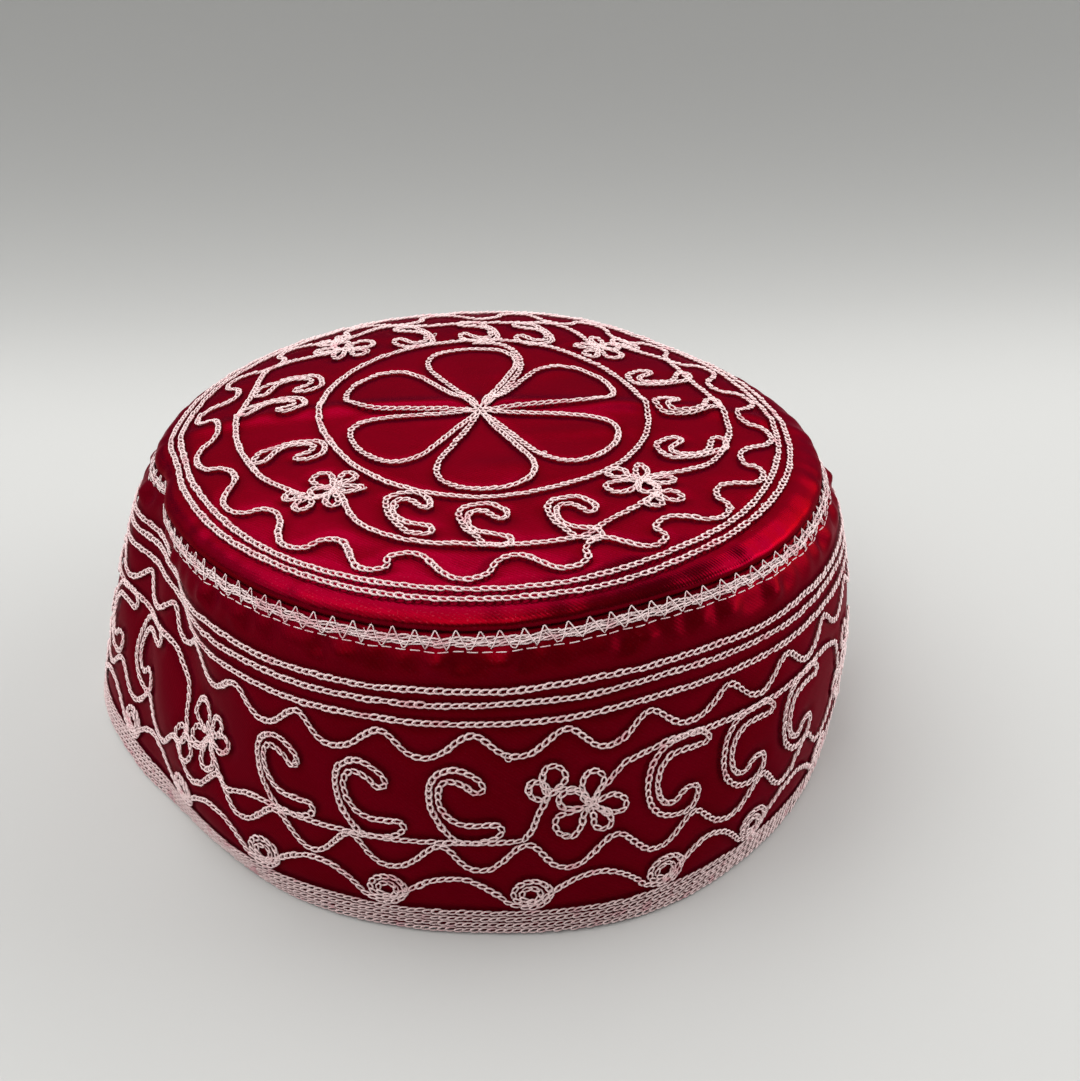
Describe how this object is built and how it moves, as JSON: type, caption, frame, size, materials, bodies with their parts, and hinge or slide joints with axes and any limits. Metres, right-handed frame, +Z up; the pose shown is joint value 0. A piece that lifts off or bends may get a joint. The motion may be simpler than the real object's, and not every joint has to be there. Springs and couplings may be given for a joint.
{
  "type": "embroidered brimless round cap",
  "caption": "Soft brimless round cap: a slightly domed crown panel sewn to a flared side band that is open below, with stitching over the seam and round the hem.",
  "frame": {"origin": "middle of the cap's outline seen from above, on the surface that its hem stands on", "axes": "+Z up through the crown, -Y towards the side that the picture shows, +X to that view's right"},
  "size_m": [0.1874, 0.1878, 0.0793],
  "materials": {
    "red_satin": "glossy satin weave, deep red, brighter where the light glances off it",
    "white_thread": "soft twisted cotton thread, white with a faint pink cast"
  },
  "bodies": {
    "root": {"crown_panel": "red_satin", "side_band": "red_satin", "crown_seam_stitching": "white_thread", "hem_stitching": "white_thread"}
  },
  "joints": []
}
